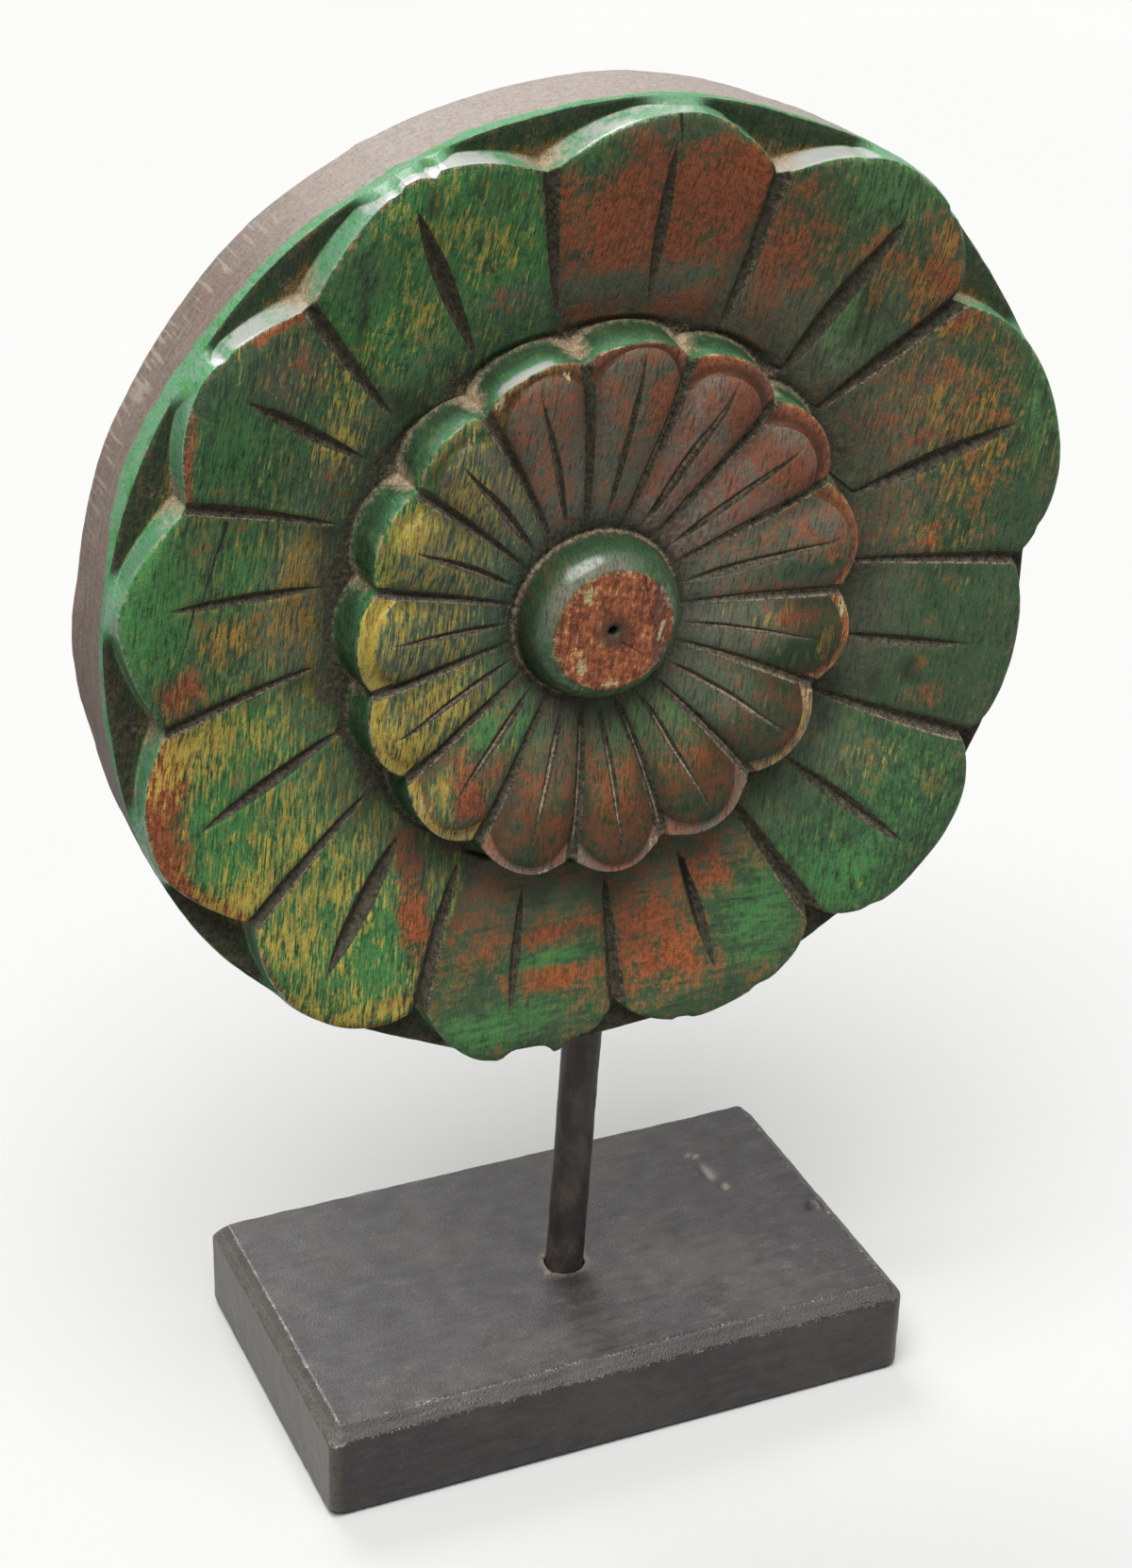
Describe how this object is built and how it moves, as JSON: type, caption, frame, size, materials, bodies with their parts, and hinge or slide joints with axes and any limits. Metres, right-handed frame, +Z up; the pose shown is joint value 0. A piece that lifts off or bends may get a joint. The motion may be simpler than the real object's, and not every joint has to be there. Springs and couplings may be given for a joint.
{
  "type": "carved wood rosette panel on stand",
  "caption": "Round carved wooden rosette with scalloped petals in worn paint, held on an iron rod above a rectangular wooden base block.",
  "frame": {"origin": "middle of the base block's underside, where it meets the surface it stands on", "axes": "+Z up along the rod and across the rosette's height, +X to the right along the block's long side, the carved face looks to -Y"},
  "size_m": [0.2237, 0.09, 0.3237],
  "materials": {
    "painted_wood": "worn green, rust-red and ochre paint rubbed back over carved wood, satin",
    "iron": "dark brown-black rod with a light rust bloom",
    "stained_wood": "black-brown stain, satin, rubbed along the edges"
  },
  "bodies": {
    "root": {"rosette": "painted_wood", "rod": "iron", "base_block": "stained_wood"}
  },
  "joints": []
}
